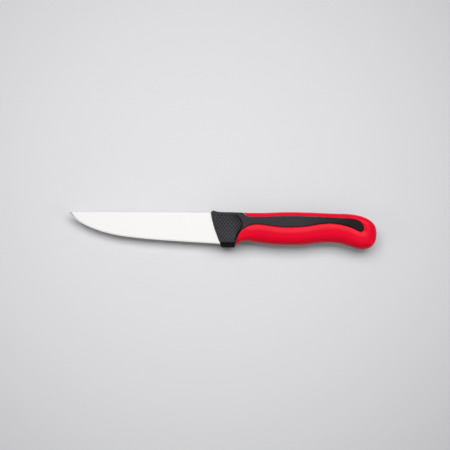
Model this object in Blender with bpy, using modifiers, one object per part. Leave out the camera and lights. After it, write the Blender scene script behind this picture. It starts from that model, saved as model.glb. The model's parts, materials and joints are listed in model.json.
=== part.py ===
"""Meat knife: a one-piece steel blade with a hidden tang, moulded into a two-colour handle.

Sizes are in millimetres. X runs along the knife, zero where the spine enters the guard, with the
blade on the negative side. Y is height, zero on the spine line. Z is thickness, zero at mid-plane.
The black core is moulded round the tang, and the red grip over the core, with a window on each side.
"""

import math

import bmesh
import bpy
import numpy as np

MM = 0.001

# Blade and its cutting edge
BLADE_LENGTH = 121.5
HEEL_DEPTH = 26.6
SPINE_THICKNESS = 2.0
SHOULDER_THICKNESS = 0.7
EDGE_THICKNESS = 0.2
BEVEL_WIDTH = 1.1
TIP_RADIUS = 0.25
# The bevel grows wider and steeper over the last stretch, and cuts the spine thin at the very tip
POINT_LENGTH = 14.0
POINT_BEVEL = 1.9
POINT_SHOULDER = 1.7
BEVEL_LIMIT = 0.8
HEEL_SEAT = 13.0
EDGE_SLOPE = 0.06
EDGE_CROWN = 0.35
# Distance from the tip along the spine, and depth of the edge below it as a share of the heel's
BELLY = [(0.0, 0.0), (4.8, 0.21), (12.4, 0.387), (24.0, 0.568), (38.0, 0.714), (58.0, 0.82)]

# Tang and the plugs of core plastic that lock it
TANG_LENGTH = 98.0
TANG_TOP = 7.0
TANG_HEIGHT = 12.0
TANG_END_HEIGHT = 9.0
TANG_HOLE_DIAMETER = 6.0
FIRST_HOLE = 38.0
HOLE_PITCH = 22.0
HOLE_MARGIN = 10.0
HEEL_OVERLAP = 3.0
PLUG_ROOT = 1.0

# Handle, guard and lip
HANDLE_LENGTH = 141.5
HANDLE_THICKNESS = 19.0
NECK_NARROWING = 0.7
WAIST_NARROWING = 1.0
GUARD_RAKE = 7.9
RAKE_POWER = 1.42
RAKE_FADE = 20.0
GUARD_CHAMFER = 0.6
GUARD_TOP_ROUND = 2.8
GUARD_LOW_ROUND = 2.2
GUARD_FLAT = 12.0
SPUR_HEIGHT = 1.9
SPUR_PLACE = 1.9
CAP_HEIGHT = 0.42
NECK_START = 18.0
NECK_END = 34.0
LIP_COVER = 3.3
LIP_HEIGHT = 4.2
LIP_ROOT = 2.5
LIP_THICKNESS = 7.0
LIP_ROUND = 1.2
LIP_SETBACK = 0.5
LIP_LEAN = 0.6
HOLLOW_DEPTH = 24.3
SWELL_DEPTH = 27.75
WAIST_DEPTH = 25.4
HOOK_DEPTH = 31.2
HOOK_LENGTH = 12.5
BUTT_LENGTH = 15.5
BUTT_ARCH = 32.0
BUTT_FALL = 0.55
BUTT_DEPTH = 17.8

# Thumb dish on each side of the guard
DISH_LENGTH = 24.5
DISH_HEIGHT = 25.0
DISH_DEPTH = 1.5
DISH_BULGE = 6.0
DISH_PLACE = 14.6
DISH_LEVEL = 10.6
DISH_TILT = 4.5

# Inlay strip, its valley, and the core inside the grip
SEAM_GAP = 0.3
STEEL_GAP = 0.3
SLOT_LEAD = 8.0
INLAY_STEP = 0.5
INLAY_RECESS = 0.25
RIDGE_DROP = 5.5
SLOPE_POWER = 1.7
RIDGE_LAND = 3.0
VALLEY_END = 13.0
VALLEY_GONE = 6.0
CORE_WALL = 2.5
CORE_THICKNESS = 10.0
CORE_ROUND = 1.5

# Roundness of the section's upper and lower quarters, and of the butt seen from the side
UPPER_POWER = 4.0
LOWER_POWER = 2.3
BUTT_TOP_POWER = 2.5
BUTT_LOW_POWER = 2.3

# Seam between black and red. The upper side's start at the top of the neck, as (x, y)
SEAM_HEAD = [(27.9, -0.6), (29.2, -2.0), (31.4, -3.1), (34.8, -3.65)]
# The upper side along the handle, with x as a share of the way from the neck's end to the butt
SEAM_UPPER = [(0.10, -3.9), (0.23, -3.35), (0.42, -3.1), (0.61, -3.5), (0.80, -4.4)]
# The tail, with x as a distance ahead of the butt's end
SEAM_TAIL = [(20.5, -5.6), (16.0, -6.8), (13.4, -9.0), (11.8, -12.0), (12.0, -14.7), (13.3, -15.7),
             (16.0, -14.8), (21.0, -12.5)]
# The lower side forwards along the handle, as shares again
SEAM_LOWER = [(0.80, -9.2), (0.72, -8.7), (0.64, -9.3), (0.51, -11.2), (0.38, -12.0), (0.24, -11.5),
              (0.11, -9.9)]
# The lower side's end, which runs down behind the guard to the finger hollow, as (x, y)
SEAM_FOOT = [(39.0, -9.6), (34.8, -10.0), (31.3, -11.2), (27.5, -13.5), (24.5, -16.6), (22.7, -20.2),
             (21.5, -24.4), (20.7, -27.6), (20.2, -30.5)]

# How fine the curves, sections and round pieces are
CORE_PITCH = 2.3
GRIP_PITCH = 1.9
BUTT_ANGLES = [10, 20, 30, 39, 48, 56, 63, 70, 76, 82]
EDGE_STEP = 2.2
SEAM_STEP = 1.6
TOP_STEPS = 6
STRIP_STEPS = 2
SLOPE_STEPS = 4
LOWER_STEPS = 10
ARC_STEPS = 4
ROUND_STEPS = 24
DISH_STEPS = 30
CUT_MARGIN = 15.0

STEEL = ("satin_steel", (0.80, 0.80, 0.79), 0.32, 1.0)
BLACK = ("black_moulded_plastic", (0.035, 0.034, 0.039), 0.62, 0.0)
RED = ("red_soft_grip", (0.70, 0.010, 0.028), 0.42, 0.0)

HALF = HANDLE_THICKNESS / 2
LIP_DEPTH = HEEL_DEPTH + LIP_COVER
GUARD_DEPTH = LIP_DEPTH - LIP_HEIGHT
BUTT_START = HANDLE_LENGTH - BUTT_LENGTH


def through(knots, values, at):
    """The smooth curve that takes the values at the knots, read at the places in `at`."""
    knots, values = np.asarray(knots, float), np.asarray(values, float)
    at = np.clip(np.atleast_1d(np.asarray(at, float)), knots[0], knots[-1])
    slopes = np.gradient(values, knots, axis=0)
    left = np.clip(np.searchsorted(knots, at, side="right") - 1, 0, len(knots) - 2)
    span = knots[left + 1] - knots[left]
    t = (at - knots[left]) / span
    if values.ndim > 1:
        span, t = span[:, None], t[:, None]
    rise = 3 * t**2 - 2 * t**3
    start = (t**3 - 2 * t**2 + t) * span * slopes[left]
    end = (t**3 - t**2) * span * slopes[left + 1]
    return values[left] * (1 - rise) + values[left + 1] * rise + start + end


def level(points, x):
    """Height at x of the smooth profile through the points."""
    knots, values = zip(*points)
    return float(through(knots, values, x)[0])


def path(points, step):
    """Evenly fine points along the smooth curve through the given ones."""
    points = np.asarray(points, float)
    legs = np.linalg.norm(np.diff(points, axis=0), axis=1)
    knots = np.concatenate([[0], np.cumsum(legs)])
    count = max(2, math.ceil(knots[-1] / step))
    return through(knots, points, np.linspace(0, knots[-1], count + 1))


def ease(x, start, end):
    """0 before start and 1 after end, with a soft passage."""
    t = min(max((x - start) / (end - start), 0.0), 1.0)
    return t * t * (3 - 2 * t)


def along(share):
    """Place at a share of the way from the neck's end to the start of the butt."""
    return NECK_END + share * (BUTT_START - NECK_END)


def rounded(u, power):
    """Height of a superellipse of half-width 1 at u."""
    return max(0.0, 1 - min(abs(u), 1.0) ** power) ** (1 / power)


def seam():
    """The whole seam as seen from the side."""
    upper, lower = ([(along(share), y) for share, y in side] for side in (SEAM_UPPER, SEAM_LOWER))
    tail = [(HANDLE_LENGTH - back, y) for back, y in SEAM_TAIL]
    return path(SEAM_HEAD + upper + tail + lower + SEAM_FOOT, SEAM_STEP)


def strip_levels():
    """The seam's upper and lower sides as two profiles over x."""
    line = seam()
    turn = int(np.argmax(line[:, 0]))
    return line[: turn + 1], line[turn:][::-1]


STRIP_TOP, STRIP_LOW = strip_levels()


def top_at(x):
    """Top of the handle behind the guard."""
    arch_start = HANDLE_LENGTH - BUTT_ARCH
    back = [(NECK_START, CAP_HEIGHT), (NECK_END - 4.0, 0.0), (along(0.13), 0.0), (along(0.24), 0.4),
            (along(0.353), 0.65), (along(0.52), 0.45), (along(0.65), 0.0), (arch_start, -BUTT_FALL)]
    if x <= arch_start:
        return level(back, x)
    arch = rounded((x - arch_start) / BUTT_ARCH, BUTT_TOP_POWER)
    return -BUTT_DEPTH + (BUTT_DEPTH - BUTT_FALL) * arch


def guard_top_at(x):
    """Top of the guard: a low spur at its front, then a level cap."""
    rise = SPUR_HEIGHT - CAP_HEIGHT
    points = [(0.0, CAP_HEIGHT + 0.32 * rise), (SPUR_PLACE, SPUR_HEIGHT), (4.0, CAP_HEIGHT + 0.53 * rise),
              (7.5, CAP_HEIGHT + 0.12 * rise), (GUARD_FLAT, CAP_HEIGHT), (NECK_START, CAP_HEIGHT)]
    return level(points, x) if x < NECK_START else top_at(x)


def bottom_at(x):
    """Underside of the grip: finger hollow, palm swell, waist and hooked butt."""
    hook = HANDLE_LENGTH - HOOK_LENGTH
    belly = [(SEAM_FOOT[-1][0], -LIP_DEPTH + 0.6), (NECK_END - 8.7, -HOLLOW_DEPTH - 1.1),
             (NECK_END - 3.5, -HOLLOW_DEPTH), (along(0.04), -HOLLOW_DEPTH - 1.1),
             (along(0.17), -SWELL_DEPTH + 0.8), (along(0.33), -SWELL_DEPTH),
             (along(0.51), -SWELL_DEPTH + 0.45), (along(0.63), -WAIST_DEPTH - 0.4),
             (along(0.72), -WAIST_DEPTH), (along(0.815), -WAIST_DEPTH - 0.6),
             (hook - 11.2, -HOOK_DEPTH + 2.8), (hook - 5.5, -HOOK_DEPTH + 0.9), (hook, -HOOK_DEPTH)]
    if x <= hook:
        return level(belly, x)
    u = (x - hook) / HOOK_LENGTH
    return -BUTT_DEPTH - (HOOK_DEPTH - BUTT_DEPTH) * rounded(u, BUTT_LOW_POWER)


def half_thickness_at(x):
    """Half thickness over the ridge, full at the guard, the palm swell and the hook."""
    points = [(0.0, HALF), (GUARD_FLAT, HALF), (NECK_END - 5.0, HALF - NECK_NARROWING),
              (along(0.11), HALF - 0.25), (along(0.26), HALF), (along(0.43), HALF),
              (along(0.72), HALF - WAIST_NARROWING), (BUTT_START - 9.0, HALF - 0.2),
              (BUTT_START - 3.0, HALF), (BUTT_START, HALF)]
    if x <= BUTT_START:
        return min(level(points, x), HALF)
    return HALF * rounded((x - BUTT_START) / BUTT_LENGTH, BUTT_TOP_POWER)


def strip_at(x):
    """Top and bottom of the strip, held level ahead of the neck and past the tail."""
    x = min(max(x, NECK_END), BUTT_START)
    return (float(np.interp(x, STRIP_TOP[:, 0], STRIP_TOP[:, 1])),
            float(np.interp(x, STRIP_LOW[:, 0], STRIP_LOW[:, 1])))


def section_levels(x, black):
    """Heights that shape the section at x, from its top down to its bottom."""
    if x > BUTT_START:
        whole = section_levels(BUTT_START, black)
        top, bottom = top_at(x), bottom_at(x)
        scale = (top - bottom) / (whole[0] - whole[-1])
        return [bottom + (y - whole[-1]) * scale for y in whole]
    strip_top, strip_low = strip_at(x)
    behind = ease(x, NECK_START, NECK_END + 2.0)
    ridge = strip_low - RIDGE_DROP
    land_top = (1 - behind) * -GUARD_TOP_ROUND + behind * ridge
    land_low = (1 - behind) * (GUARD_LOW_ROUND - GUARD_DEPTH) + behind * (ridge - RIDGE_LAND)
    if black:
        bottom = -GUARD_DEPTH if x < NECK_END else bottom_at(x)
        return [guard_top_at(x), strip_top, strip_low, ridge, land_top, land_low, bottom]
    land_low = min(land_low, ridge - RIDGE_LAND)
    return [top_at(x), strip_top, strip_low, ridge, land_top, land_low, bottom_at(x)]


def half_section(x, black, inset=0.0):
    """(y, z) points of the section's right half, from the top round to the bottom."""
    top, strip_top, strip_low, ridge, land_top, land_low, bottom = section_levels(x, black)
    half = half_thickness_at(x)
    reach = top - land_top

    def open_width(y):
        return half * rounded((y - land_top) / reach, UPPER_POWER) if y > land_top else half

    present = ease(x, NECK_END - 10.0, NECK_END)
    present *= 1 - ease(x, HANDLE_LENGTH - VALLEY_END, HANDLE_LENGTH - VALLEY_GONE)
    floor = open_width(strip_top) - INLAY_STEP + (0.0 if black else INLAY_RECESS)
    edge = math.asin(min(max((strip_top - land_top) / reach, 0.0), 1.0) ** (UPPER_POWER / 2))
    levels = [land_top + reach * math.sin(angle) ** (2 / UPPER_POWER)
              for angle in np.linspace(math.pi / 2, edge, TOP_STEPS + 1)[:-1]]
    levels += list(np.linspace(strip_top, strip_low, STRIP_STEPS + 1))
    levels += list(np.linspace(strip_low, ridge, SLOPE_STEPS + 1))[1:]
    points = []
    for y in levels:
        width = open_width(y)
        if black or y < strip_top:
            climb = min(max((strip_low - y) / (strip_low - ridge), 0.0), 1.0)
            sunk = floor + (width - floor) * (1 - (1 - climb) ** SLOPE_POWER)
            width += (min(sunk, width) - width) * present
        points.append((y, width))
    points[0] = (top, 0.0)
    for angle in np.linspace(0, math.pi / 2, LOWER_STEPS + 1):
        y = land_low - (land_low - bottom) * math.sin(angle) ** (2 / LOWER_POWER)
        points.append((y, half * math.cos(angle) ** (2 / LOWER_POWER)))
    points[-1] = (bottom, 0.0)
    if inset:
        middle = (top + bottom) / 2
        points = [(y - math.copysign(min(inset, abs(y - middle)), y - middle), max(z - inset, 0.0))
                  for y, z in points]
    return points


def full_ring(x_at, half):
    """The closed ring of a half section, with its mirrored side, at the place that x_at gives."""
    left = [(y, -z) for y, z in half[-2:0:-1]]
    return [(x_at(y), y, z) for y, z in half + left]


def collection(name):
    """A new collection in the scene."""
    made = bpy.data.collections.new(name)
    bpy.context.scene.collection.children.link(made)
    return made


def material(name, colour, roughness, metallic):
    """A plain material with the piece's own colour and gloss."""
    made = bpy.data.materials.new(name)
    made.use_nodes = True
    shader = made.node_tree.nodes["Principled BSDF"]
    shader.inputs["Base Color"].default_value = (*colour, 1.0)
    shader.inputs["Roughness"].default_value = roughness
    shader.inputs["Metallic"].default_value = metallic
    return made


def add(name, mesh, home, frame):
    """An object for the mesh, in the collection and carried by the frame."""
    made = bpy.data.objects.new(name, mesh)
    home.objects.link(made)
    made.parent = frame
    return made


def from_bmesh(name, shape, home, frame):
    """Turns the shape's faces outwards and makes it an object."""
    bmesh.ops.recalc_face_normals(shape, faces=shape.faces)
    mesh = bpy.data.meshes.new(name)
    shape.to_mesh(mesh)
    shape.free()
    return add(name, mesh, home, frame)


def close_end(shape, row, partner_of_first):
    """Closes a ring with a ladder of faces between its two mirrored sides."""
    count = len(row)
    for i in range(count // 2):
        far, near = (partner_of_first - i - 1) % count, (partner_of_first - i) % count
        corners = list(dict.fromkeys((row[i], row[i + 1], row[far], row[near])))
        if len(corners) > 2:
            shape.faces.new(corners)


def loft(name, rings, partner_of_first, home, frame):
    """A closed skin over rings that have the same number of points, mirrored about mid-plane."""
    shape = bmesh.new()
    rows = [[shape.verts.new((x * MM, y * MM, z * MM)) for x, y, z in ring] for ring in rings]
    for one, two in zip(rows, rows[1:]):
        for i in range(len(one)):
            j = (i + 1) % len(one)
            shape.faces.new((one[i], one[j], two[j], two[i]))
    close_end(shape, rows[0], partner_of_first)
    close_end(shape, rows[-1], partner_of_first)
    return from_bmesh(name, shape, home, frame)


def plate(name, outline, thickness, home, frame, edge_round=0.0):
    """A flat plate of the outline, centred on the mid-plane, with softened edges if asked."""
    curve = bpy.data.curves.new(name, "CURVE")
    curve.dimensions = "2D"
    curve.fill_mode = "BOTH"
    curve.extrude = thickness / 2 * MM
    spline = curve.splines.new("POLY")
    spline.points.add(len(outline) - 1)
    for point, (x, y) in zip(spline.points, outline):
        point.co = (x * MM, y * MM, 0.0, 1.0)
    spline.use_cyclic_u = True
    guide = bpy.data.objects.new(name + "_curve", curve)
    home.objects.link(guide)
    graph = bpy.context.evaluated_depsgraph_get()
    mesh = bpy.data.meshes.new_from_object(guide.evaluated_get(graph))
    bpy.data.objects.remove(guide)
    shape = bmesh.new()
    shape.from_mesh(mesh)
    bmesh.ops.remove_doubles(shape, verts=shape.verts, dist=1e-6)
    bmesh.ops.dissolve_limit(shape, angle_limit=0.001, verts=shape.verts, edges=shape.edges)
    made = from_bmesh(name, shape, home, frame)
    if edge_round:
        bevel = made.modifiers.new("edge_round", "BEVEL")
        bevel.width = edge_round * MM
        bevel.segments = 2
        bevel.limit_method = "ANGLE"
        bevel.angle_limit = math.radians(60)
    return made


def pin(name, diameter, length, x, y, home, frame):
    """A round bar across the thickness."""
    shape = bmesh.new()
    bmesh.ops.create_cone(shape, cap_ends=True, segments=ROUND_STEPS, radius1=diameter / 2 * MM,
                          radius2=diameter / 2 * MM, depth=length * MM)
    made = from_bmesh(name, shape, home, frame)
    made.location = (x * MM, y * MM, 0.0)
    return made


def boolean(piece, other, operation):
    """Joins the other shape to the piece, or cuts it with it."""
    modifier = piece.modifiers.new(other.name, "BOOLEAN")
    modifier.operation = operation
    modifier.solver = "EXACT"
    modifier.object = other


def edge_line():
    """The cutting edge from the tip to the heel, as (x, y)."""
    belly = [(x, share * HEEL_DEPTH) for x, share in BELLY]
    heel = (BLADE_LENGTH + HEEL_SEAT, HEEL_DEPTH + EDGE_SLOPE * (HEEL_SEAT - GUARD_RAKE))
    middle = ((belly[-1][0] + heel[0]) / 2, (belly[-1][1] + heel[1]) / 2 + EDGE_CROWN)
    return [(x - BLADE_LENGTH, -depth) for x, depth in path(belly + [middle, heel], EDGE_STEP)]


def blade_ring(edge, normal, spine_x, grow):
    """Six points round the blade between a place on the spine and the edge point opposite it."""
    depth = -edge[1]
    back = ease(edge[0], -BLADE_LENGTH, -BLADE_LENGTH + POINT_LENGTH)
    width = POINT_BEVEL + (BEVEL_WIDTH - POINT_BEVEL) * back
    behind = POINT_SHOULDER + (SHOULDER_THICKNESS - POINT_SHOULDER) * back
    keen = EDGE_THICKNESS / 2
    steepness = (behind / 2 - keen) / width
    bevel = min(width, depth * BEVEL_LIMIT)
    full = min(SPINE_THICKNESS / 2, keen + steepness * depth)
    shoulder = (edge[0] + normal[0] * bevel, edge[1] + normal[1] * bevel)
    low = (edge[0] - normal[0] * grow, edge[1] - normal[1] * grow)
    side = [(spine_x, grow, full + grow), (*shoulder, min(keen + steepness * bevel, full) + grow),
            (*low, keen + grow)]
    return side + [(x, y, -z) for x, y, z in side[::-1]]


def blade_rings(grow, first_x):
    """Rings from first_x to the heel, each across the blade from the spine to the edge."""
    line = np.array([point for point in edge_line() if point[0] >= first_x])
    tangents = np.gradient(line, axis=0)
    tangents /= np.linalg.norm(tangents, axis=1)[:, None]
    rings = []
    for (x, y), (along_x, along_y) in zip(line, tangents):
        lean = ease(x, -BLADE_LENGTH, -BLADE_LENGTH + BELLY[-1][0])
        normal = (-along_y, along_x)
        depth = max(-y, TIP_RADIUS)
        spine_x = x + (1 - lean) * 0.25 * depth
        rings.append(blade_ring((x, -depth), normal, min(spine_x, line[-1][0]), grow))
    if grow:
        rings.append([(x + grow, y, z) for x, y, z in rings[-1]])
    return rings


def tang_outline(grow):
    """The tang's side view with its round end, grown on every side."""
    start = HEEL_SEAT - HEEL_OVERLAP
    middle = -TANG_TOP - TANG_HEIGHT / 2
    tall, short = TANG_HEIGHT / 2 + grow, TANG_END_HEIGHT / 2 + grow
    centre = TANG_LENGTH - TANG_END_HEIGHT / 2
    arc = [(centre + short * math.sin(angle), middle + short * math.cos(angle))
           for angle in np.linspace(0, math.pi, 3 * ARC_STEPS + 1)]
    return [(start - grow, middle - tall), (start - grow, middle + tall), *arc]


def hole_places():
    """Centres of the tang's holes."""
    middle = -TANG_TOP - TANG_HEIGHT / 2
    return [(x, middle) for x in np.arange(FIRST_HOLE, TANG_LENGTH - HOLE_MARGIN, HOLE_PITCH)]


def front_at(y):
    """How far the raked guard stands back from the spine's entry at the height y."""
    return GUARD_RAKE * (max(-y, 0.0) / HEEL_DEPTH) ** RAKE_POWER


def inlay_region(grow):
    """Side view of everything black: inside the seam, and open ahead of it."""
    line = seam()
    step = np.gradient(line, axis=0)
    step /= np.linalg.norm(step, axis=1)[:, None]
    line = line + np.column_stack([-step[:, 1], step[:, 0]]) * grow
    lead_in = line[0] - step[0] * CUT_MARGIN
    run_out = line[-1] + step[-1] * CUT_MARGIN
    ahead = -CUT_MARGIN
    return [(ahead, lead_in[1]), *map(tuple, (lead_in, *line, run_out)), (ahead, run_out[1])]


def lip_outline():
    """The finger lip under the guard, with its round front corner."""
    front = front_at(-GUARD_DEPTH) + LIP_SETBACK
    back = SEAM_FOOT[-1][0] + LIP_THICKNESS
    upper = LIP_ROOT - GUARD_DEPTH
    radius = 2 * LIP_ROUND
    arc = [(front + radius - radius * math.cos(angle), -LIP_DEPTH + radius - radius * math.sin(angle))
           for angle in np.linspace(0, math.pi / 2, ARC_STEPS + 1)]
    return [(back, upper), (front - LIP_LEAN, upper), *arc, (back, -LIP_DEPTH)]


def core_stations():
    """Where the black form's sections lie, with how far each is drawn in."""
    chamfer = [(0.0, GUARD_CHAMFER), (GUARD_CHAMFER / 2, GUARD_CHAMFER / 4), (GUARD_CHAMFER, 0.0)]
    spur = [(x, 0.0) for x in (SPUR_PLACE, 3.5, 5.5, 8.0, GUARD_FLAT, (GUARD_FLAT + NECK_START) / 2)]
    strip_end = HANDLE_LENGTH - VALLEY_GONE - 3.0
    count = round((strip_end - NECK_START) / CORE_PITCH)
    return chamfer + spur + [(x, 0.0) for x in np.linspace(NECK_START, strip_end, count + 1)]


def grip_stations():
    """Where the red form's sections lie, and the place each has on the rounded butt."""
    front = SEAM_FOOT[-1][0] - 1.6
    count = round((BUTT_START - front) / GRIP_PITCH)
    body = [(x, x) for x in np.linspace(front, BUTT_START, count + 1)]
    reach = np.sin(np.radians(BUTT_ANGLES))
    return body + [(BUTT_START + BUTT_LENGTH * u / reach[-1], BUTT_START + BUTT_LENGTH * u) for u in reach]


def make_blade(home, cutters, frame):
    """The steel blank: ground blade, tang and the holes through it."""
    blade = loft("blade", blade_rings(0.0, -BLADE_LENGTH), -1, home, frame)
    tang = plate("tang", tang_outline(0.0), SPINE_THICKNESS, cutters, frame)
    boolean(blade, tang, "UNION")
    for number, (x, y) in enumerate(hole_places(), 1):
        hole = pin(f"tang_hole_{number}", TANG_HOLE_DIAMETER, 3 * SPINE_THICKNESS, x, y, cutters, frame)
        boolean(blade, hole, "DIFFERENCE")
    return blade


def make_slot(cutters, frame):
    """The room that the heel and tang take up inside the core, with its clearance."""
    slot = loft("heel_slot", blade_rings(STEEL_GAP, -SLOT_LEAD), -1, cutters, frame)
    rear = plate("tang_slot", tang_outline(STEEL_GAP), SPINE_THICKNESS + 2 * STEEL_GAP, cutters, frame)
    boolean(slot, rear, "UNION")
    return slot


def make_dish(name, side, cutters, frame):
    """An ellipsoid that hollows a thumb dish in one side of the guard."""
    rise = DISH_BULGE - DISH_DEPTH
    spread = math.sqrt(1 - (rise / DISH_BULGE) ** 2)
    shape = bmesh.new()
    bmesh.ops.create_uvsphere(shape, u_segments=2 * DISH_STEPS, v_segments=DISH_STEPS, radius=1.0)
    size = (DISH_LENGTH / 2 / spread, DISH_HEIGHT / 2 / spread, DISH_BULGE)
    bmesh.ops.scale(shape, vec=[value * MM for value in size], verts=shape.verts)
    dish = from_bmesh(name, shape, cutters, frame)
    dish.rotation_euler = (0.0, side * math.radians(DISH_TILT), 0.0)
    dish.location = (DISH_PLACE * MM, -DISH_LEVEL * MM, side * (HALF + rise) * MM)
    return dish


def make_core(home, cutters, frame):
    """The black core: guard, neck and side strips, and the bar that holds the tang."""
    rings = []
    for x, inset in core_stations():
        rake = 1 - ease(x, 0.0, RAKE_FADE)
        rings.append(full_ring(lambda y: x + rake * front_at(y), half_section(x, True, inset)))
    core = loft("handle_core", rings, 0, home, frame)
    lip = plate("finger_lip", lip_outline(), LIP_THICKNESS, cutters, frame, LIP_ROUND)
    boolean(core, lip, "UNION")
    region = plate("inlay_region", inlay_region(0.0), 3 * HANDLE_THICKNESS, cutters, frame)
    boolean(core, region, "INTERSECT")
    bar = plate("core_bar", tang_outline(CORE_WALL), CORE_THICKNESS, cutters, frame, CORE_ROUND)
    boolean(core, bar, "UNION")
    boolean(core, make_slot(cutters, frame), "DIFFERENCE")
    for name, side in (("dish_upper", 1), ("dish_lower", -1)):
        boolean(core, make_dish(name, side, cutters, frame), "DIFFERENCE")
    for number, (x, y) in enumerate(hole_places(), 1):
        length = SPINE_THICKNESS + 2 * (STEEL_GAP + PLUG_ROOT)
        plug = pin(f"plug_{number}", TANG_HOLE_DIAMETER - 2 * STEEL_GAP, length, x, y, cutters, frame)
        boolean(core, plug, "UNION")
    return core


def make_grip(home, cutters, frame):
    """The red grip: top band, palm swell and butt, open at the front and at both side windows."""
    rings = [full_ring(lambda y: x, half_section(shape_x, False)) for x, shape_x in grip_stations()]
    grip = loft("grip", rings, 0, home, frame)
    window = plate("window_region", inlay_region(SEAM_GAP), 3 * HANDLE_THICKNESS, cutters, frame)
    boolean(grip, window, "DIFFERENCE")
    room = plate("bar_room", tang_outline(CORE_WALL + SEAM_GAP), CORE_THICKNESS + 2 * SEAM_GAP,
                 cutters, frame, CORE_ROUND)
    boolean(grip, room, "DIFFERENCE")
    return grip


def finish(piece, look):
    """Gives a piece its material and smooth shading with crisp edges."""
    piece.data.materials.append(material(*look))
    piece.data.shade_smooth()
    piece.data.set_sharp_from_angle(angle=math.radians(30))


def stand_on_origin(parts, frame):
    """Moves the frame so that the bottom centre of the whole knife's box is the origin."""
    bpy.context.view_layer.update()
    graph = bpy.context.evaluated_depsgraph_get()
    points = []
    for part in parts:
        evaluated = part.evaluated_get(graph)
        points += [tuple(vertex.co) for vertex in evaluated.to_mesh().vertices]
        evaluated.to_mesh_clear()
    low, high = np.min(points, axis=0), np.max(points, axis=0)
    frame.location = (-(low[0] + high[0]) / 2, -(low[1] + high[1]) / 2, -low[2])
    print("box in mm", np.round((high - low) / MM, 2), "and its frame at", np.round(frame.location / MM, 2))


def main():
    for thing in list(bpy.data.objects):
        bpy.data.objects.remove(thing)
    home, cutters = collection("meat_knife"), collection("cutters")
    frame = bpy.data.objects.new("knife_frame", None)
    home.objects.link(frame)
    parts = [make_blade(home, cutters, frame), make_core(home, cutters, frame),
             make_grip(home, cutters, frame)]
    for part, look in zip(parts, (STEEL, BLACK, RED)):
        finish(part, look)
    for cutter in cutters.objects:
        cutter.hide_render = True
        cutter.display_type = "WIRE"
    stand_on_origin(parts, frame)


main()
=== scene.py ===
"""Looks of the meat knife: satin steel blade, knurled black core and red soft grip on a pale floor."""

import json
import math

import bpy
from mathutils import Matrix, Vector

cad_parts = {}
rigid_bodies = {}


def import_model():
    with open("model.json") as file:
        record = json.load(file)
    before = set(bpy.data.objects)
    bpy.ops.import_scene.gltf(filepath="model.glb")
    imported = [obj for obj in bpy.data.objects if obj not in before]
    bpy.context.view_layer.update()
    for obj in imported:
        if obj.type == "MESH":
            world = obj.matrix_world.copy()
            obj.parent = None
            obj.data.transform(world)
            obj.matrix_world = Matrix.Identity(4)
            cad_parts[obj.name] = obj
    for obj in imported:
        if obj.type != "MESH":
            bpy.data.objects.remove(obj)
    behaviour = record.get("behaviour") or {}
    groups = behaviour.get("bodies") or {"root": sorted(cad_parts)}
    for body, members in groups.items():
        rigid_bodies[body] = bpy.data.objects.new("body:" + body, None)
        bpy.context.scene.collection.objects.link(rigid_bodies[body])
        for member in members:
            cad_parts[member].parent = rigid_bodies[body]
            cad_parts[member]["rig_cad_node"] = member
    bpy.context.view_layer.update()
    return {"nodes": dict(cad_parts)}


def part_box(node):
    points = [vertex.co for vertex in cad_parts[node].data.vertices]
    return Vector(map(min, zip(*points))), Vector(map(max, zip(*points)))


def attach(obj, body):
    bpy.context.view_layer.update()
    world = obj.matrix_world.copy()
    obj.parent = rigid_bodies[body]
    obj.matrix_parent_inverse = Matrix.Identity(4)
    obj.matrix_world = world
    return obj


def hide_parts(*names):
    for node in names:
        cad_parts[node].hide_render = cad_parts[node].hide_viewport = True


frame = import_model()

MM = 0.001
NEAR = 0.01 * MM

# Places read from the frame: where the spine enters the guard, the ends of the steel, and the mid-plane
GUARD_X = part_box("handle_core")[0].x
TIP_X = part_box("blade")[0].x
TANG_END_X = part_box("blade")[1].x
SPINE_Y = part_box("blade")[1].y
MIDDLE_Z = (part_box("grip")[0].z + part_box("grip")[1].z) / 2

# Blade: its thickness at the spine, at the bevel's shoulder and at the edge, and the width of the edge bevel
SPINE_THICKNESS = 2.0 * MM
SHOULDER_THICKNESS = 0.7 * MM
EDGE_THICKNESS = 0.2 * MM
BEVEL_WIDTH = 1.1 * MM
# The point: the stretch over which the bevel widens, and its width and its shoulder's thickness at the tip
POINT_LENGTH = 14.0 * MM
POINT_BEVEL = 2.6 * MM
POINT_SHOULDER = 1.6 * MM
# The largest share of the blade's depth that the bevel takes up
BEVEL_LIMIT = 0.8
# How far behind the spine's entry the heel ends, and how far below the spine the look for the edge starts
HEEL_SEAT = 13.0 * MM
BELOW_EDGE = 60.0 * MM
# How many stretches the blank is drawn out in, and how they crowd towards the tip
STATIONS = 44
CROWDING = 1.6
# The spine's eased corners, and the steepest turn that the ground faces are shaded smooth over
CORNER_EASE = 0.08 * MM
STEEL_CREASE = math.radians(8)

# Plastic over the seated heel, from the spine's entry back, and the step cut into the steel's corner for it
NECK_WALL = (7.0 * MM, 15.0 * MM)
WALL_TOP = 0.15 * MM
WALL_FOOT = -1.4 * MM
WALL_WIDTH = 5.0 * MM
STEEL_CLEARANCE = 0.3 * MM
HEEL_CUT_TOP = 1.0 * MM

# Tang with its nearly round end, and its holes
TANG_START = 9.0 * MM
TANG_TOP = 7.0 * MM
TANG_HEIGHT = 12.0 * MM
TANG_END_HEIGHT = 9.0 * MM
TANG_END_ROUND = 0.48 * TANG_END_HEIGHT
TANG_END_STEPS = 8
HOLE_DIAMETER = 6.0 * MM
HOLE_SIDES = 48
FIRST_HOLE = 38.0 * MM
HOLE_PITCH = 22.0 * MM
HOLE_COUNT = 3

# Moulded core and grip: how near loose corners are merged, how fine the skins are, how soft their edges,
# and the steepest turn that the core is shaded smooth over
MERGE = 0.002 * MM
CORE_SKIN = 0.42 * MM
GRIP_SKIN = 0.45 * MM
SOFTENING = 5
SOFTENING_SHARE = 0.5
CORE_CREASE = math.radians(28)

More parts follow.
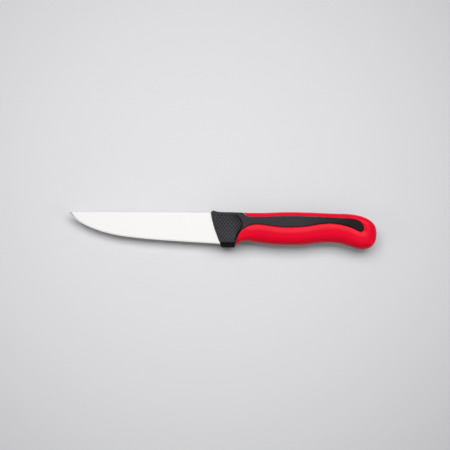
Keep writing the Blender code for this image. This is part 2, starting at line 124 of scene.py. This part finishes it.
# Knurl in the thumb dish: a net of diamonds that stands between sunk pits
DIAMOND_LENGTH = 2.92 * MM
DIAMOND_HEIGHT = 3.48 * MM
DIAMONDS = 18
PIT_DEPTH = 0.40 * MM
PIT_SLOPE = 0.85 * MM
NET_LIFT = 0.30 * MM
PAD_CENTRE = (14.95 * MM, -11.2 * MM)
# The knurled pad seen from the side, in millimetres back from the spine's entry and up from the spine
PAD_OUTLINE = [(9.9, -23.0), (8.2, -20.0), (5.7, -14.0), (3.9, -7.0), (2.9, -1.5), (12.0, -1.7), (20.6, -2.0),
               (23.3, -3.4), (25.6, -6.4), (26.8, -10.2), (26.2, -12.6), (24.2, -15.4), (22.3, -18.8),
               (21.0, -22.0), (20.6, -23.0)]
# The sunk line round the pad's rear rim, from the same places
RIM_LINE = [(21.6, -2.2), *PAD_OUTLINE[7:], (19.9, -25.4)]
RIM_WIDTH = 1.2 * MM
RIM_CURVE_STEPS = 6
RIM_ROUNDNESS = 4
# The rim's line is left open between ends that stand further apart than this
RIM_OPENING = 15.0 * MM
# Radius of the circle that an outline is drawn from
TRACE_RADIUS = 10.0 * MM
# The pad's block: its foot above the mid-plane and its thickness. Then the heights above the mid-plane where
# the rim's rod and the knurl start, clear of the skin, and where the knurl's form is closed.
PAD_FOOT = 4.0 * MM
PAD_THICKNESS = 9.0 * MM
RIM_START = 12.0 * MM
KNURL_START = 11.0 * MM
KNURL_CEILING = 14.0 * MM

# Step under the pad: the span of its rounded corner below the spine, the line that the corner is drawn to and
# how far, and the places and reach of its front and rear ends
STEP_SPAN = (-23.7 * MM, -25.7 * MM)
STEP_EDGE = -25.5 * MM
STEP_SQUARING = 0.35
STEP_ENDS = (7.7 * MM, 21.2 * MM)
END_REACH = 0.7 * MM

# Lip under the pad: where it starts below the spine, its half thickness there, and the slope of its sides,
# with the size of the block that cuts them
LIP_START = 26.0 * MM
LIP_HALF = 3.5 * MM
LIP_SLOPE = math.radians(30)
TRIMMER = 20.0 * MM

# The wear_and_shade value runs from 0, the darkest painted shade in a pit, to 1 on the net, worn paler by
# thumbs and partly a painted highlight, with the open skin half way. A pit's painted shade is as dark as
# it gets at this share of its depth.
OPEN_LEVEL = 0.5
PIT_SHADE_SHARE = 0.6
# Painted shade on the net along the rim's upper half, and the millimetres over which it fades out
RIM_SHADE = 0.35
RIM_TOP_POINTS = 5
RIM_SHADE_REACH = 7.0
# The band under the pits is painted a little paler, and the corner under that and the lip get painted
# shade. The feet of band and corner are in millimetres.
BAND_LEVEL = 0.65
BAND_FOOT = -25.2
CORNER_SHADE = 0.0
CORNER_FOOT = -26.8
LIP_SHADE = 0.1
# The strip keeps the open skin's tone back to the first place, and is painted darker from there to its
# tail as painted shade, both places in millimetres
TAIL_SHADE = 0.0
TAIL_START = 76.0
TAIL_END = 118.0

# Patterns of the finishes: the pitch, length and depth of the grind lines, then the grain and the slow drift
# of each moulding. A 240 grit belt's lines are 0.05 mm apart. They are drawn five times as coarse, so that
# they show.
GRIND_PITCH = 0.25 * MM
GRIND_LENGTH = 9.0 * MM
GRIND_DEPTH = 10 / 3 * MM
SPARK_GRAIN = 0.45 * MM
SPARK_DRIFT = 9.0 * MM
PEEL_GRAIN = 0.8 * MM
PEEL_DRIFT = 14.0 * MM

# Camera above the knife, looking straight down
FIELD = 385.2 * MM
LENS = 100.0
SENSOR = 36.0
AIM = (2.04 * MM, 4.02 * MM)
ROLL = math.radians(0.23)

# Floor: its size in metres, how fast its tone falls off, how far the scaled pattern of that is shifted, and
# the distances over which the camera loses the floor in the backdrop
FLOOR_SIZE = 6.0
FLOOR_FALL = 3.4
FLOOR_SHIFT = (0.08, -0.03, 0.0)
FLOOR_REACH = (0.7, 1.8)

# Studio: the colour of its light, the strength of the backdrop that the camera sees and of the light all
# round, and the glossy room, which runs from dark to white along an axis
STUDIO_WHITE = "#FDFDFF"
BACKDROP = 0.8
AMBIENT = 0.05
ROOM_AXIS = (0.0, 0.41, 0.91)
ROOM_SPAN = (0.15, 0.70)
ROOM_TONES = (0.08, 1.0)


def linear(code):
    """Linear colour of an sRGB hex code, with alpha."""
    parts = [int(code[i:i + 2], 16) / 255 for i in (1, 3, 5)]
    return (*[c / 12.92 if c <= 0.04045 else ((c + 0.055) / 1.055) ** 2.4 for c in parts], 1.0)


def only(piece):
    """Selects one object alone and makes it the active one."""
    bpy.ops.object.select_all(action="DESELECT")
    piece.select_set(True)
    bpy.context.view_layer.objects.active = piece


def started(name):
    """Names the primitive just added and settles its place and size in its mesh."""
    piece = bpy.context.active_object
    piece.name = piece.data.name = name
    only(piece)
    bpy.ops.object.transform_apply(location=True, rotation=True, scale=True)
    return piece


def twin(piece, name):
    """A copy of a piece with its own mesh."""
    only(piece)
    bpy.ops.object.duplicate()
    other = bpy.context.active_object
    other.name = other.data.name = name
    return other


def block(name, size, centre):
    """A box of a size, to shape or to cut with."""
    bpy.ops.mesh.primitive_cube_add(size=1, scale=size, location=centre)
    return started(name)


def open_up(piece):
    """Opens a piece in edit mode with all of it selected."""
    only(piece)
    bpy.ops.object.mode_set(mode="EDIT")
    bpy.ops.mesh.select_all(action="SELECT")


def close(outward=False):
    """Leaves edit mode, with the faces turned outwards if asked."""
    if outward:
        bpy.ops.mesh.select_all(action="SELECT")
        bpy.ops.mesh.normals_make_consistent(inside=False)
    bpy.ops.object.mode_set(mode="OBJECT")


def pick_faces(test):
    """Selects only those faces of the open piece that pass the test."""
    bpy.ops.mesh.select_mode(type="FACE")
    bpy.ops.mesh.select_all(action="DESELECT")
    bpy.ops.object.mode_set(mode="OBJECT")
    for face in bpy.context.object.data.polygons:
        face.select = bool(test(face.center, face.normal))
    bpy.ops.object.mode_set(mode="EDIT")


def pick_edges(test):
    """Selects only those edges of the open piece whose two ends pass the test."""
    bpy.ops.mesh.select_mode(type="EDGE")
    bpy.ops.mesh.select_all(action="DESELECT")
    bpy.ops.object.mode_set(mode="OBJECT")
    mesh = bpy.context.object.data
    for edge in mesh.edges:
        edge.select = bool(test(*[mesh.vertices[i].co for i in edge.vertices]))
    bpy.ops.object.mode_set(mode="EDIT")


def pick_points(test):
    """Selects only those points of the open piece that pass the test."""
    bpy.ops.mesh.select_mode(type="VERT")
    bpy.ops.mesh.select_all(action="DESELECT")
    bpy.ops.object.mode_set(mode="OBJECT")
    for vertex in bpy.context.object.data.vertices:
        vertex.select = bool(test(vertex.co, vertex.index))
    bpy.ops.object.mode_set(mode="EDIT")


def extrude(x, y, z):
    """Draws the selection of the open piece out by a step."""
    bpy.ops.mesh.extrude_region_move(TRANSFORM_OT_translate={"value": (x, y, z)})


def move(x, y, z):
    """Moves the selection of the open piece by a step."""
    bpy.ops.transform.translate(value=(x, y, z))


def scale(factors, centre):
    """Scales the selection of the open piece about a centre."""
    bpy.ops.transform.resize(value=factors, center_override=centre)


def modify(piece, kind, **settings):
    """Adds a modifier with its settings and applies it."""
    only(piece)
    bpy.ops.object.modifier_add(type=kind)
    modifier = piece.modifiers[-1]
    for key, value in settings.items():
        setattr(modifier, key, value)
    bpy.ops.object.modifier_apply(modifier=modifier.name)


def drape(piece, skin):
    """Lowers each point of a piece straight down onto a skin."""
    modify(piece, "SHRINKWRAP", target=skin, wrap_method="PROJECT", use_project_z=True,
           use_negative_direction=True, use_positive_direction=False)


def combine(piece, other, operation, solver="EXACT"):
    """Joins another shape to the piece, or cuts the piece with it, and throws the other away."""
    modify(piece, "BOOLEAN", object=other, operation=operation, solver=solver)
    bpy.data.objects.remove(other)


def hand_over(piece, cad_name, material):
    """Gives a finished piece its material, and lets it stand for its CAD node."""
    piece.data.materials.clear()
    piece.data.materials.append(material)
    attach(piece, "root")
    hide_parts(cad_name)


def node(tree, kind, links=(), **settings):
    """Adds a shader node, sets its values and links its inputs."""
    made = tree.nodes.new(kind)
    for key, value in settings.items():
        setattr(made, key, value)
    for socket, value in links:
        if isinstance(value, bpy.types.NodeSocket):
            tree.links.new(value, made.inputs[socket])
        else:
            made.inputs[socket].default_value = value
    return made


def principled(name):
    """A new material with its tree and its shader."""
    made = bpy.data.materials.new(name)
    made.use_nodes = True
    return made, made.node_tree, made.node_tree.nodes["Principled BSDF"]


def grain_skin(tree, shader, grain, spread, roughness, strength, height):
    """Lets a grain's values, over their spread, vary the skin's roughness, and raises the skin with it."""
    rough = node(tree, "ShaderNodeMapRange", [("Value", grain),
                                              ("From Min", spread[0]), ("From Max", spread[1]),
                                              ("To Min", roughness[0]), ("To Max", roughness[1])])
    tree.links.new(rough.outputs[0], shader.inputs["Roughness"])
    bump = node(tree, "ShaderNodeBump", [("Height", grain), ("Strength", strength), ("Distance", height)])
    tree.links.new(bump.outputs[0], shader.inputs["Normal"])


def satin_steel():
    """Stainless steel, cold rolled and ground across the blade: nearly mirror bright, with a soft
    lengthways spread and grind lines that run from the spine to the edge."""
    made, tree, shader = principled("stainless_steel_satin_ground")
    shader.inputs["Base Color"].default_value = linear("#F6F5F2")
    shader.inputs["Metallic"].default_value = 1.0
    place = node(tree, "ShaderNodeTexCoord").outputs["Object"]
    per_line = (1 / GRIND_PITCH, 1 / GRIND_LENGTH, 1 / GRIND_DEPTH)
    lines = node(tree, "ShaderNodeMapping", [("Vector", place), ("Scale", per_line)])
    grain = node(tree, "ShaderNodeTexNoise", [("Vector", lines.outputs[0]), ("Scale", 1.0), ("Detail", 3.0)])
    grain_skin(tree, shader, grain.outputs["Fac"], spread=(0.25, 0.75), roughness=(0.14, 0.20),
               strength=0.12, height=0.02 * MM)
    return made


def moulded_black():
    """Black polypropylene, injection moulded in a spark-eroded tool: an even, finely pitted matte skin. Its
    colour carries painted shade in the knurl's pits, the corner under the pad, the lip, the rim's upper half
    and the strip's tail, and a net that is worn paler and partly a painted highlight.
    """
    made, tree, shader = principled("polypropylene_black_moulded")
    shader.inputs["Specular IOR Level"].default_value = 0.15
    place = node(tree, "ShaderNodeTexCoord").outputs["Object"]
    pits = node(tree, "ShaderNodeTexNoise", [("Vector", place), ("Scale", 1 / SPARK_GRAIN), ("Detail", 4.0)])
    drift = node(tree, "ShaderNodeTexNoise", [("Vector", place), ("Scale", 1 / SPARK_DRIFT), ("Detail", 2.0)])
    tone = node(tree, "ShaderNodeMix", [("Factor", drift.outputs["Fac"]), ("A", linear("#29282B")),
                                        ("B", linear("#312F33"))], data_type="RGBA")
    # The net is worn paler by thumbs and partly a painted highlight; pits and shaded places get painted shade
    wear_and_shade = node(tree, "ShaderNodeAttribute", attribute_name="wear_and_shade").outputs["Fac"]
    rubbed_and_lit = node(tree, "ShaderNodeMapRange", [("Value", wear_and_shade), ("From Min", OPEN_LEVEL), ("From Max", 1.0)])
    sunk = node(tree, "ShaderNodeMapRange", [("Value", wear_and_shade), ("From Min", OPEN_LEVEL), ("From Max", 0.0)])
    paler = node(tree, "ShaderNodeMix", [("Factor", rubbed_and_lit.outputs[0]), ("A", tone.outputs["Result"]),
                                         ("B", linear("#3B3B40"))], data_type="RGBA")
    darker = node(tree, "ShaderNodeMix", [("Factor", sunk.outputs[0]), ("A", paler.outputs["Result"]),
                                          ("B", linear("#050506"))], data_type="RGBA")
    tree.links.new(darker.outputs["Result"], shader.inputs["Base Color"])
    grain_skin(tree, shader, pits.outputs["Fac"], spread=(0.3, 0.7), roughness=(0.56, 0.70),
               strength=0.35, height=0.05 * MM)
    return made


def soft_red():
    """Red thermoplastic elastomer, moulded over the core: warm satin skin with a faint orange peel."""
    made, tree, shader = principled("elastomer_red_overmoulded")
    shader.inputs["Specular IOR Level"].default_value = 0.09
    place = node(tree, "ShaderNodeTexCoord").outputs["Object"]
    peel = node(tree, "ShaderNodeTexNoise", [("Vector", place), ("Scale", 1 / PEEL_GRAIN), ("Detail", 3.0)])
    drift = node(tree, "ShaderNodeTexNoise", [("Vector", place), ("Scale", 1 / PEEL_DRIFT), ("Detail", 2.0)])
    tone = node(tree, "ShaderNodeMix", [("Factor", drift.outputs["Fac"]), ("A", linear("#DC0226")),
                                        ("B", linear("#E6042C"))], data_type="RGBA")
    tree.links.new(tone.outputs["Result"], shader.inputs["Base Color"])
    grain_skin(tree, shader, peel.outputs["Fac"], spread=(0.3, 0.7), roughness=(0.26, 0.34),
               strength=0.2, height=0.05 * MM)
    return made


def edge_depth(x):
    """How far the cutting edge lies below the spine at a place along the blade."""
    below = Vector((x, SPINE_Y - BELOW_EDGE, MIDDLE_Z))
    return SPINE_Y - frame["nodes"]["blade"].ray_cast(below, Vector((0, 1, 0)))[1].y


def blade_stations():
    """Places along the blade from the heel to the tip, closer together where the belly curves in."""
    heel, tip = GUARD_X + HEEL_SEAT - NEAR, TIP_X + NEAR
    return [tip + (heel - tip) * (1 - i / STATIONS) ** CROWDING for i in range(STATIONS + 1)]


def grind_at(x, depth):
    """Width of the edge bevel at a place, and the blade's thickness at its shoulder and at the spine."""
    share = min((x - TIP_X) / POINT_LENGTH, 1.0)
    back = share * share * (3 - 2 * share)
    width = POINT_BEVEL + (BEVEL_WIDTH - POINT_BEVEL) * back
    behind = POINT_SHOULDER + (SHOULDER_THICKNESS - POINT_SHOULDER) * back
    steepness = (behind - EDGE_THICKNESS) / width
    bevel = min(width, BEVEL_LIMIT * depth)
    return bevel, EDGE_THICKNESS + steepness * bevel, min(SPINE_THICKNESS, EDGE_THICKNESS + steepness * depth)


def make_blank():
    """The blade's blank: the heel's section drawn out to the tip, with eased corners on the spine."""
    stations = blade_stations()
    heel, first = stations[:2]
    flat = edge_depth(first) - BEVEL_WIDTH
    blade = block("steel_blade", (heel - first, flat, SPINE_THICKNESS),
                  ((heel + first) / 2, SPINE_Y - flat / 2, MIDDLE_Z))
    open_up(blade)
    pick_faces(lambda centre, normal: normal.y < -0.5)
    scale((1, 1, SHOULDER_THICKNESS / SPINE_THICKNESS), (first, SPINE_Y, MIDDLE_Z))
    extrude(0, -BEVEL_WIDTH, 0)
    scale((1, 1, EDGE_THICKNESS / SHOULDER_THICKNESS), (first, SPINE_Y, MIDDLE_Z))
    pick_faces(lambda centre, normal: normal.x < -0.5)
    for last, x in zip(stations[1:], stations[2:]):
        extrude(x - last, 0, 0)
        scale((1, edge_depth(x) / edge_depth(last), 1), (x, SPINE_Y, MIDDLE_Z))
    # The bevel shrank with the depth, so each shoulder goes back to the bevel's width. The spine is thin
    # only at the very tip, where the bevel reaches it.
    for x in stations[2:]:
        depth = edge_depth(x)
        bevel, behind, full = grind_at(x, depth)
        now = depth * flat / (flat + BEVEL_WIDTH)
        pick_points(lambda spot, index: abs(spot.x - x) < NEAR / 4 and abs(SPINE_Y - now - spot.y) < NEAR / 4)
        move(0, now - depth + bevel, 0)
        scale((1, 1, behind / SHOULDER_THICKNESS), (x, SPINE_Y, MIDDLE_Z))
        if full < SPINE_THICKNESS:
            pick_points(lambda spot, index: abs(spot.x - x) < NEAR / 4 and spot.y > SPINE_Y - NEAR / 4)
            scale((1, 1, full / SPINE_THICKNESS), (x, SPINE_Y, MIDDLE_Z))
    pick_edges(lambda one, two: min(one.y, two.y) > SPINE_Y - NEAR and abs(one.x - two.x) > NEAR)
    bpy.ops.mesh.bevel(offset=CORNER_EASE, segments=1, affect="EDGES")
    close()
    return blade


def make_tang():
    """The tang: a bar with a round end, and holes that the core's plastic fills."""
    start, end = GUARD_X + TANG_START, TANG_END_X
    middle = SPINE_Y - TANG_TOP - TANG_HEIGHT / 2
    tang = block("tang", (end - start, TANG_HEIGHT, SPINE_THICKNESS), ((start + end) / 2, middle, MIDDLE_Z))
    open_up(tang)
    pick_faces(lambda centre, normal: normal.x > 0.5)
    scale((1, TANG_END_HEIGHT / TANG_HEIGHT, 1), (end, middle, MIDDLE_Z))
    pick_edges(lambda one, two: min(one.x, two.x) > end - NEAR and abs(one.z - two.z) > NEAR)
    bpy.ops.mesh.bevel(offset=TANG_END_ROUND, segments=TANG_END_STEPS, affect="EDGES")
    close()
    for number in range(HOLE_COUNT):
        centre = (GUARD_X + FIRST_HOLE + number * HOLE_PITCH, middle, MIDDLE_Z)
        bpy.ops.mesh.primitive_cylinder_add(radius=HOLE_DIAMETER / 2, depth=3 * SPINE_THICKNESS,
                                            vertices=HOLE_SIDES, location=centre)
        combine(tang, started("hole"), "DIFFERENCE")
    return tang


def neck_block(name, clearance, top):
    """A bar over the seated heel, just under the top of the neck."""
    start, end = NECK_WALL[0] - clearance, NECK_WALL[1]
    foot = WALL_FOOT - clearance
    return block(name, (end - start, top - foot, WALL_WIDTH),
                 (GUARD_X + (start + end) / 2, SPINE_Y + (top + foot) / 2, MIDDLE_Z))


def make_blade():
    """The steel blade with its tang, its corner stepped down where the neck's plastic closes over it."""
    blade = make_blank()
    combine(blade, neck_block("heel_step", STEEL_CLEARANCE, HEEL_CUT_TOP), "DIFFERENCE")
    combine(blade, make_tang(), "UNION")
    only(blade)
    bpy.ops.object.shade_smooth_by_angle(angle=STEEL_CREASE)
    hand_over(blade, "blade", satin_steel())


def copied(cad_name, name):
    """A merged copy of a CAD moulding."""
    piece = twin(frame["nodes"][cad_name], name)
    del piece["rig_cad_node"]
    piece.data.materials.clear()
    open_up(piece)
    bpy.ops.mesh.remove_doubles(threshold=MERGE)
    close()
    return piece


def soften(piece, skin):
    """Gives a moulding an even skin, and edges as soft as a mould leaves them."""
    modify(piece, "REMESH", mode="VOXEL", voxel_size=skin)
    modify(piece, "SMOOTH", factor=SOFTENING_SHARE, iterations=SOFTENING)


def square_step(core):
    """Draws the round corner under the pad together, to the tight step of the real moulding."""
    front, rear = [GUARD_X + end for end in STEP_ENDS]
    high, low = [SPINE_Y + place for place in STEP_SPAN]

    def in_corner(spot):
        beside_lip = abs(spot.z - MIDDLE_Z) > LIP_HALF + NEAR
        return low < spot.y < high and beside_lip and spot.x < rear + 2 * END_REACH

    def inside_ends(spot):
        return front + END_REACH < spot.x < rear - END_REACH

    open_up(core)
    pick_points(lambda spot, index: in_corner(spot) and inside_ends(spot))
    scale((1, STEP_SQUARING, 1), (0, SPINE_Y + STEP_EDGE, 0))
    for end in (front, rear):
        pick_points(lambda spot, index: in_corner(spot) and abs(spot.x - end) <= 2 * END_REACH
                    and not inside_ends(spot))
        scale((STEP_SQUARING, STEP_SQUARING, 1), (end, SPINE_Y + STEP_EDGE, 0))
    close()


def lip_trimmer():
    """A block whose lower face slopes away from the step above the lip."""
    edge = Vector((GUARD_X + PAD_CENTRE[0], SPINE_Y - LIP_START, MIDDLE_Z + LIP_HALF))
    to_centre = Matrix.Rotation(LIP_SLOPE, 3, "X") @ Vector((0, -TRIMMER / 2, TRIMMER / 2))
    bpy.ops.mesh.primitive_cube_add(size=TRIMMER, location=edge + to_centre, rotation=(LIP_SLOPE, 0, 0))
    return started("lip_trimmer")


def traced(name, outline, height, fill):
    """A circle whose points are moved to the places of an outline, left open in edit mode."""
    bpy.ops.mesh.primitive_circle_add(vertices=len(outline), radius=TRACE_RADIUS, fill_type=fill,
                                      location=(GUARD_X, SPINE_Y, height))
    shape = started(name)
    open_up(shape)
    for number, (x, y) in enumerate(outline):
        pick_points(lambda spot, index: index == number)
        spot = shape.data.vertices[number].co.copy()
        move(GUARD_X + x * MM - spot.x, SPINE_Y + y * MM - spot.y, 0)
    return shape


def pad_prism():
    """A block with the knurled pad's outline, beside the knife's mid-plane."""
    prism = traced("pad_prism", PAD_OUTLINE, MIDDLE_Z + PAD_FOOT, "NGON")
    bpy.ops.mesh.select_all(action="SELECT")
    extrude(0, 0, PAD_THICKNESS)
    close(outward=True)
    return prism


def rim_cutter(core):
    """A rod that follows the pad's rear rim along the skin, to cut its line."""
    rod = traced("rim_cutter", RIM_LINE, MIDDLE_Z + RIM_START, "NOTHING")
    pick_edges(lambda one, two: (one - two).length > RIM_OPENING)
    bpy.ops.mesh.delete(type="EDGE")
    close()
    drape(rod, core)
    only(rod)
    bpy.ops.object.convert(target="CURVE")
    rod = bpy.context.active_object
    path = rod.data.splines[0]
    path.type = "NURBS"
    path.use_endpoint_u = True
    path.order_u = 3
    path.resolution_u = RIM_CURVE_STEPS
    rod.data.bevel_depth = RIM_WIDTH / 2
    rod.data.bevel_resolution = RIM_ROUNDNESS
    rod.data.use_fill_caps = True
    bpy.ops.object.convert(target="MESH")
    rod = bpy.context.active_object
    open_up(rod)
    bpy.ops.mesh.remove_doubles(threshold=NEAR)
    close(outward=True)
    return rod


def knurl_cutter(core):
    """The form that presses the knurl: a grid of diamonds draped just above the dish, each inset and
    pushed in, so that the net between them stays at the skin, and closed above."""
    start, ceiling = MIDDLE_Z + KNURL_START, MIDDLE_Z + KNURL_CEILING
    # A square grid turned by an eighth of a turn has diamonds a root of two wide
    spread = (DIAMOND_LENGTH / math.sqrt(2) / MM, DIAMOND_HEIGHT / math.sqrt(2) / MM, 1)
    bpy.ops.mesh.primitive_grid_add(x_subdivisions=DIAMONDS, y_subdivisions=DIAMONDS, size=DIAMONDS * MM,
                                    rotation=(0, 0, math.tau / 8))
    cutter = started("knurl_cutter")
    open_up(cutter)
    scale(spread, (0, 0, 0))
    move(GUARD_X + PAD_CENTRE[0], SPINE_Y + PAD_CENTRE[1], start)
    close()
    drape(cutter, core)
    open_up(cutter)
    move(0, 0, NET_LIFT)
    bpy.ops.mesh.select_mode(type="FACE")
    bpy.ops.mesh.inset(thickness=PIT_SLOPE, depth=-(NET_LIFT + PIT_DEPTH), use_individual=True)
    bpy.ops.mesh.select_all(action="SELECT")
    extrude(0, 0, ceiling - start)
    scale((1, 1, 0), (0, 0, ceiling))
    close(outward=True)
    return cutter


def mirrored(piece, name):
    """A copy of a piece on the other side of the mid-plane."""
    other = twin(piece, name)
    open_up(other)
    scale((1, 1, -1), (0, 0, MIDDLE_Z))
    close(outward=True)
    return other


def wear_and_shade_at(point, prism):
    """Value of the unsunk skin at a point of the core, where the prism bounds the pad: painted shade on the
    lip, in the corner, along the rim's upper half and on the strip's tail, a paler band, and a net worn paler
    and partly a painted highlight.
    """
    spot = Vector(((point.x - GUARD_X) / MM, (point.y - SPINE_Y) / MM))
    if spot.y < CORNER_FOOT:
        return LIP_SHADE
    if spot.y < BAND_FOOT:
        return CORNER_SHADE
    if spot.y < PAD_OUTLINE[0][1]:
        return BAND_LEVEL
    if spot.x > TAIL_START:
        share = min((spot.x - TAIL_START) / (TAIL_END - TAIL_START), 1.0)
        return OPEN_LEVEL + (TAIL_SHADE - OPEN_LEVEL) * share
    if prism.ray_cast(Vector((point.x, point.y, MIDDLE_Z)), Vector((0, 0, 1)))[0]:
        from_rim = min((spot - Vector(place)).length for place in RIM_LINE[:RIM_TOP_POINTS])
        return RIM_SHADE + (1.0 - RIM_SHADE) * min(from_rim / RIM_SHADE_REACH, 1.0)
    return OPEN_LEVEL


def mark_wear_and_shade(core, skin, prism):
    """Marks each point of the core with its value, which falls to the darkest painted shade as the point
    sinks below the skin into a pit.
    """
    wear_and_shade = core.data.attributes.new("wear_and_shade", "FLOAT", "POINT")
    for point, mark in zip(core.data.vertices, wear_and_shade.data):
        depth = (point.co - skin.closest_point_on_mesh(point.co)[1]).length
        mark.value = wear_and_shade_at(point.co, prism) * (1.0 - min(depth / (PIT_SHADE_SHARE * PIT_DEPTH), 1.0))


def make_core():
    """The black core: its moulded form with softened edges, and the knurl cut into both thumb dishes."""
    core = copied("handle_core", "core")
    square_step(core)
    combine(core, neck_block("neck_wall", 0, WALL_TOP), "UNION")
    trimmer = lip_trimmer()
    combine(core, mirrored(trimmer, "trimmer_back"), "DIFFERENCE")
    combine(core, trimmer, "DIFFERENCE")
    soften(core, CORE_SKIN)
    skin = twin(core, "core_skin")
    knurl, rim = knurl_cutter(core), rim_cutter(core)
    # The exact solver loses the body round pits this fine
    combine(knurl, pad_prism(), "INTERSECT", "MANIFOLD")
    for cutter in (rim, knurl):
        combine(core, mirrored(cutter, "cutter_back"), "DIFFERENCE", "MANIFOLD")
        combine(core, cutter, "DIFFERENCE", "MANIFOLD")
    prism = pad_prism()
    # The core's colour gets painted shade and a paler net by point
    mark_wear_and_shade(core, skin, prism)
    bpy.data.objects.remove(prism)
    bpy.data.objects.remove(skin)
    only(core)
    bpy.ops.object.shade_smooth_by_angle(angle=CORE_CREASE)
    hand_over(core, "handle_core", moulded_black())


def make_grip():
    """The red grip, with the rims of its windows softened."""
    grip = copied("grip", "soft_grip")
    soften(grip, GRIP_SKIN)
    only(grip)
    bpy.ops.object.shade_smooth()
    hand_over(grip, "grip", soft_red())
    # The floor and the core take no red light from it
    grip.visible_diffuse = False


def make_floor():
    """A plain pale floor under the knife."""
    bpy.ops.mesh.primitive_plane_add(size=FLOOR_SIZE, location=(0, 0, 0))
    floor = bpy.context.active_object
    floor.name = "floor"
    made, tree, shader = principled("painted_board_pale")
    shader.inputs["Roughness"].default_value = 0.7
    shader.inputs["Specular IOR Level"].default_value = 0.1
    # The board is a little darker towards the corners of the view, as under a light that falls off
    place = node(tree, "ShaderNodeTexCoord").outputs["Object"]
    spread = node(tree, "ShaderNodeMapping", [("Vector", place), ("Location", FLOOR_SHIFT),
                                              ("Scale", (FLOOR_FALL,) * 3)]).outputs[0]
    reach = node(tree, "ShaderNodeVectorMath", [(0, spread), (1, spread)], operation="DOT_PRODUCT")
    tone = node(tree, "ShaderNodeMix", [("Factor", reach.outputs["Value"]), ("A", linear("#DEDEE0")),
                                        ("B", linear("#C0C0C2"))], data_type="RGBA")
    tree.links.new(tone.outputs["Result"], shader.inputs["Base Color"])
    # Far from the knife the camera sees the plain backdrop and no edge of the board
    start, end = [(FLOOR_FALL * distance) ** 2 for distance in FLOOR_REACH]
    far = node(tree, "ShaderNodeMapRange", [("Value", reach.outputs["Value"]), ("From Min", start),
                                            ("From Max", end)])
    ray = node(tree, "ShaderNodeLightPath")
    share = node(tree, "ShaderNodeMath", [(0, far.outputs[0]), (1, ray.outputs["Is Camera Ray"])],
                 operation="MULTIPLY")
    glow = node(tree, "ShaderNodeEmission", [("Color", linear(STUDIO_WHITE)), ("Strength", BACKDROP)])
    blend = node(tree, "ShaderNodeMixShader", [(0, share.outputs[0]), (1, shader.outputs[0]),
                                               (2, glow.outputs[0])])
    tree.links.new(blend.outputs[0], tree.nodes["Material Output"].inputs["Surface"])
    floor.data.materials.append(made)


def make_lamp(name, direction, distance, size, watts):
    """A soft lamp that faces the knife from a direction."""
    bpy.ops.object.light_add(type="AREA", location=Vector(direction).normalized() * distance)
    lamp = bpy.context.active_object
    lamp.name = name
    lamp.data.shape = "RECTANGLE"
    lamp.data.size, lamp.data.size_y = size
    lamp.data.energy = watts
    lamp.rotation_euler = Vector(direction).to_track_quat("Z", "Y").to_euler()


def make_lamps():
    """A wide window above and behind the knife, and three weak cards that lighten its shaded sides."""
    make_lamp("window", direction=(0.03, 0.462, 0.886), distance=2.6, size=(4.0, 1.5), watts=94.0)
    make_lamp("fill_card", direction=(0.10, -0.85, 0.52), distance=2.0, size=(1.4, 0.8), watts=2.5)
    make_lamp("left_card", direction=(-0.85, -0.15, 0.50), distance=2.0, size=(0.5, 0.5), watts=3.0)
    make_lamp("right_card", direction=(0.85, -0.30, 0.45), distance=2.0, size=(0.5, 0.5), watts=4.0)


def make_world():
    """Dim light all round. Glossy surfaces see a room that is white overhead and towards the window,
    and dark on the side away from it."""
    world = bpy.data.worlds.new("studio")
    bpy.context.scene.world = world
    world.use_nodes = True
    tree = world.node_tree
    ray = node(tree, "ShaderNodeLightPath")
    view = node(tree, "ShaderNodeTexCoord").outputs["Generated"]
    towards = node(tree, "ShaderNodeVectorMath", [(0, view), (1, ROOM_AXIS)], operation="DOT_PRODUCT")
    room = node(tree, "ShaderNodeMapRange", [("Value", towards.outputs["Value"]),
                                             ("From Min", ROOM_SPAN[0]), ("From Max", ROOM_SPAN[1]),
                                             ("To Min", ROOM_TONES[0]), ("To Max", ROOM_TONES[1])])
    seen = node(tree, "ShaderNodeMix", [("Factor", ray.outputs["Is Glossy Ray"]), ("A", AMBIENT),
                                        ("B", room.outputs[0])])
    shown = node(tree, "ShaderNodeMix", [("Factor", ray.outputs["Is Camera Ray"]),
                                         ("A", seen.outputs["Result"]), ("B", BACKDROP)])
    back = tree.nodes["Background"]
    back.inputs["Color"].default_value = linear(STUDIO_WHITE)
    tree.links.new(shown.outputs["Result"], back.inputs["Strength"])


def make_camera():
    """The camera straight above, a little turned, with the whole knife in the middle of its view."""
    distance = FIELD * LENS / SENSOR
    bpy.ops.object.camera_add(location=(*AIM, MIDDLE_Z + distance), rotation=(0, 0, ROLL))
    camera = bpy.context.active_object
    camera.data.lens = LENS
    camera.data.sensor_width = SENSOR
    bpy.context.scene.camera = camera


make_blade()
make_core()
make_grip()
make_floor()
make_lamps()
make_world()
make_camera()
bpy.context.scene.view_settings.view_transform = "Standard"
